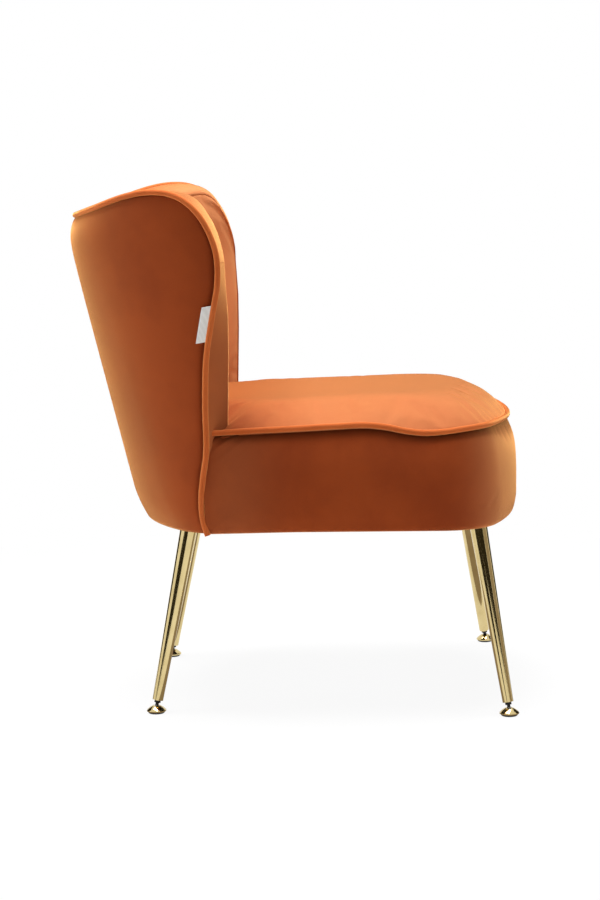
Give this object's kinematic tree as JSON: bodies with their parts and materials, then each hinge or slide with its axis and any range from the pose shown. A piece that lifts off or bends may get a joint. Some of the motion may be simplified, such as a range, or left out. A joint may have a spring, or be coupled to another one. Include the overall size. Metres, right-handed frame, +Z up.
{
  "type": "wingback chair",
  "caption": "Small armless wingback chair with a wrap-around padded back, crowned boxed seat with piping, and splayed tapered gold legs on levelling feet.",
  "frame": {"origin": "on the floor, under the middle of the chair's bounding box", "axes": "+Z up, -Y towards the front of the seat, +X towards the sitter's left"},
  "size_m": [0.513, 0.6246, 0.7196],
  "materials": {
    "velvet": "rust-orange short-pile velvet",
    "piping_velvet": "rust-orange velvet cord",
    "foam": "open-cell foam",
    "board": "bent fibreboard",
    "timber": "sawn beech",
    "webbing": "elastic webbing",
    "dust_cloth": "spun-bonded cloth",
    "tab_cloth": "woven tape",
    "gold_metal": "polished pale gold",
    "black_metal": "black oxide",
    "nylon": "moulded",
    "rubber": "matt",
    "zinc_steel": "zinc plated"
  },
  "bodies": {
    "chair": {"back_board": "board", "back_bolts": "zinc_steel", "back_foam": "foam", "back_piping": "piping_velvet", "back_straps": "webbing", "barrel_nuts": "zinc_steel", "bolt_washers": "zinc_steel", "bottom_rail": "timber", "corner_blocks": "timber", "dust_cover": "dust_cloth", "inside_back_cover": "velvet", "leg_front_left": "gold_metal", "leg_front_right": "gold_metal", "leg_inserts": "zinc_steel", "leg_plates": "zinc_steel", "leg_rear_left": "gold_metal", "leg_rear_right": "gold_metal", "outside_back_cover": "velvet", "plate_screws": "zinc_steel", "rear_post_left": "timber", "rear_post_right": "timber", "seat_boxing": "velvet", "seat_foam": "foam", "seat_front_rail": "timber", "seat_piping": "piping_velvet", "seat_rear_rail": "timber", "seat_side_rail_left": "timber", "seat_side_rail_right": "timber", "seat_straps_cross": "webbing", "seat_straps_long": "webbing", "seat_top_cover": "velvet", "tack_rails": "timber", "top_rail": "timber", "wing_border_left": "velvet", "wing_border_right": "velvet", "wing_post_left": "timber", "wing_post_right": "timber", "wing_tab": "tab_cloth"},
    "foot_bush_front_right": {"foot_bush_front_right": "nylon"},
    "foot_stem_front_right": {"foot_stem_front_right": "black_metal"},
    "foot_pad_front_right": {"foot_pad_front_right": "gold_metal", "foot_base_front_right": "rubber"},
    "foot_bush_front_left": {"foot_bush_front_left": "nylon"},
    "foot_stem_front_left": {"foot_stem_front_left": "black_metal"},
    "foot_pad_front_left": {"foot_pad_front_left": "gold_metal", "foot_base_front_left": "rubber"},
    "foot_bush_rear_right": {"foot_bush_rear_right": "nylon"},
    "foot_stem_rear_right": {"foot_stem_rear_right": "black_metal"},
    "foot_pad_rear_right": {"foot_pad_rear_right": "gold_metal", "foot_base_rear_right": "rubber"},
    "foot_bush_rear_left": {"foot_bush_rear_left": "nylon"},
    "foot_stem_rear_left": {"foot_stem_rear_left": "black_metal"},
    "foot_pad_rear_left": {"foot_pad_rear_left": "gold_metal", "foot_base_rear_left": "rubber"}
  },
  "joints": [
    {"name": "foot_height_front_right", "type": "slide", "parent": "chair", "child": "foot_bush_front_right", "axis": [-0.176, -0.1408, -0.9743], "range_m": [0, 0.01]},
    {"name": "foot_turn_front_right", "type": "hinge", "parent": "foot_bush_front_right", "child": "foot_stem_front_right", "pos_m": [-0.236, -0.283, 0.00805], "axis": [-0.176, -0.1408, -0.9743], "range_deg": [0, 3600.5]},
    {"name": "foot_tilt_front_right", "type": "hinge", "parent": "foot_bush_front_right", "child": "foot_pad_front_right", "pos_m": [-0.236, -0.283, 0.00805], "axis": [0.6247, -0.7809, 0], "range_deg": [-10, 10]},
    {"name": "foot_height_front_left", "type": "slide", "parent": "chair", "child": "foot_bush_front_left", "axis": [0.176, -0.1408, -0.9743], "range_m": [0, 0.01]},
    {"name": "foot_turn_front_left", "type": "hinge", "parent": "foot_bush_front_left", "child": "foot_stem_front_left", "pos_m": [0.236, -0.283, 0.00805], "axis": [0.176, -0.1408, -0.9743], "range_deg": [0, 3600.5]},
    {"name": "foot_tilt_front_left", "type": "hinge", "parent": "foot_bush_front_left", "child": "foot_pad_front_left", "pos_m": [0.236, -0.283, 0.00805], "axis": [0.6247, 0.7809, 0], "range_deg": [-10, 10]},
    {"name": "foot_height_rear_right", "type": "slide", "parent": "chair", "child": "foot_bush_rear_right", "axis": [-0.0745, 0.2038, -0.9762], "range_m": [0, 0.01]},
    {"name": "foot_turn_rear_right", "type": "hinge", "parent": "foot_bush_rear_right", "child": "foot_stem_rear_right", "pos_m": [-0.179, 0.199, 0.00805], "axis": [-0.0745, 0.2038, -0.9762], "range_deg": [0, 3600.5]},
    {"name": "foot_tilt_rear_right", "type": "hinge", "parent": "foot_bush_rear_right", "child": "foot_pad_rear_right", "pos_m": [-0.179, 0.199, 0.00805], "axis": [-0.9393, -0.3432, 0], "range_deg": [-10, 10]},
    {"name": "foot_height_rear_left", "type": "slide", "parent": "chair", "child": "foot_bush_rear_left", "axis": [0.0745, 0.2038, -0.9762], "range_m": [0, 0.01]},
    {"name": "foot_turn_rear_left", "type": "hinge", "parent": "foot_bush_rear_left", "child": "foot_stem_rear_left", "pos_m": [0.179, 0.199, 0.00805], "axis": [0.0745, 0.2038, -0.9762], "range_deg": [0, 3600.5]},
    {"name": "foot_tilt_rear_left", "type": "hinge", "parent": "foot_bush_rear_left", "child": "foot_pad_rear_left", "pos_m": [0.179, 0.199, 0.00805], "axis": [-0.9393, 0.3432, 0], "range_deg": [-10, 10]}
  ],
  "couplings": [
    {"joint": "foot_turn_front_right", "follows": "foot_height_front_right", "rad_per_m": 6283.2},
    {"joint": "foot_turn_front_left", "follows": "foot_height_front_left", "rad_per_m": 6283.2},
    {"joint": "foot_turn_rear_right", "follows": "foot_height_rear_right", "rad_per_m": 6283.2},
    {"joint": "foot_turn_rear_left", "follows": "foot_height_rear_left", "rad_per_m": 6283.2}
  ]
}
